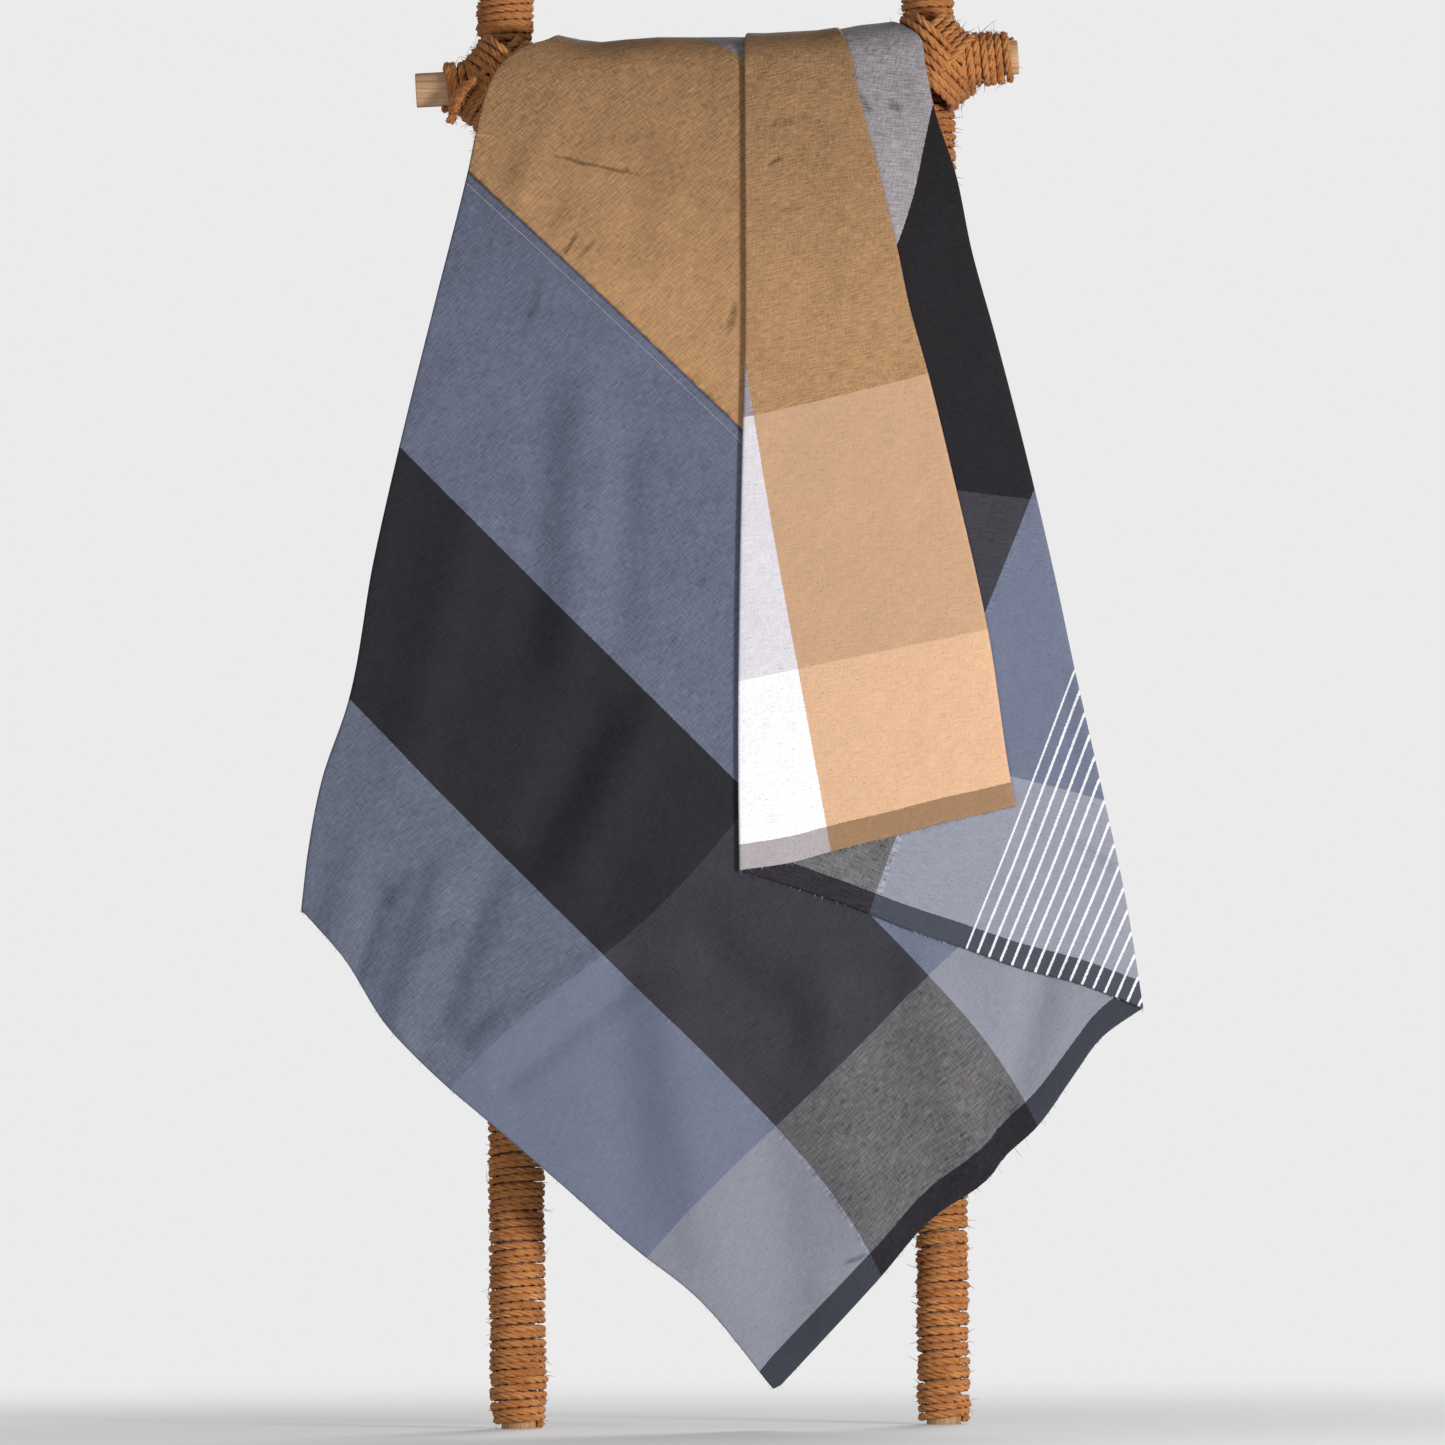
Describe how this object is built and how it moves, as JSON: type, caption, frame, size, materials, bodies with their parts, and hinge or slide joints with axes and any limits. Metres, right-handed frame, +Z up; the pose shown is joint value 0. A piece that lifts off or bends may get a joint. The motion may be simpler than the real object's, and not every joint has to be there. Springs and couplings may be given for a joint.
{
  "type": "quilt on a rack",
  "caption": "Thin two-sided check quilt, folded in layers and hung over the top rung of a rope-wrapped wooden ladder rack.",
  "frame": {"origin": "centre of the footprint box, on the floor", "axes": "+Z up; -Y is the front, where the long drop of the quilt hangs; +X to the right as seen from the front"},
  "size_m": [0.8776, 0.3244, 1.5633],
  "materials": {
    "bare_wood": "sanded, unvarnished softwood",
    "coir_rope": "three-strand coir rope, hairy and matt",
    "blue_black_cloth": "yarn-dyed cotton, fine plain weave with a slight sheen",
    "beige_white_cloth": "yarn-dyed cotton, fine plain weave with a slight sheen",
    "backing_cloth": "yarn-dyed cotton with fine white lines, plain weave",
    "wadding": "thin bonded cotton wadding"
  },
  "bodies": {
    "rack": {"left_upright_pole": "bare_wood", "left_upright_rope_wrap": "coir_rope", "right_upright_pole": "bare_wood", "right_upright_rope_wrap": "coir_rope", "top_rung_pole": "bare_wood", "top_rung_rope_wrap": "coir_rope", "top_left_lashing": "coir_rope", "top_right_lashing": "coir_rope", "middle_rung_pole": "bare_wood", "middle_rung_rope_wrap": "coir_rope", "middle_left_lashing": "coir_rope", "middle_right_lashing": "coir_rope", "lower_rung_pole": "bare_wood", "lower_rung_rope_wrap": "coir_rope", "lower_left_lashing": "coir_rope", "lower_right_lashing": "coir_rope"},
    "quilt": {"quilt_face_panel_blue_black": "blue_black_cloth", "quilt_face_panel_beige_white": "beige_white_cloth", "quilt_wadding": "wadding", "quilt_backing": "backing_cloth"}
  },
  "joints": [
    {"name": "quilt_lift", "type": "slide", "parent": "rack", "child": "quilt", "axis": [0, 0, 1], "range_m": [0, 0.64]}
  ]
}
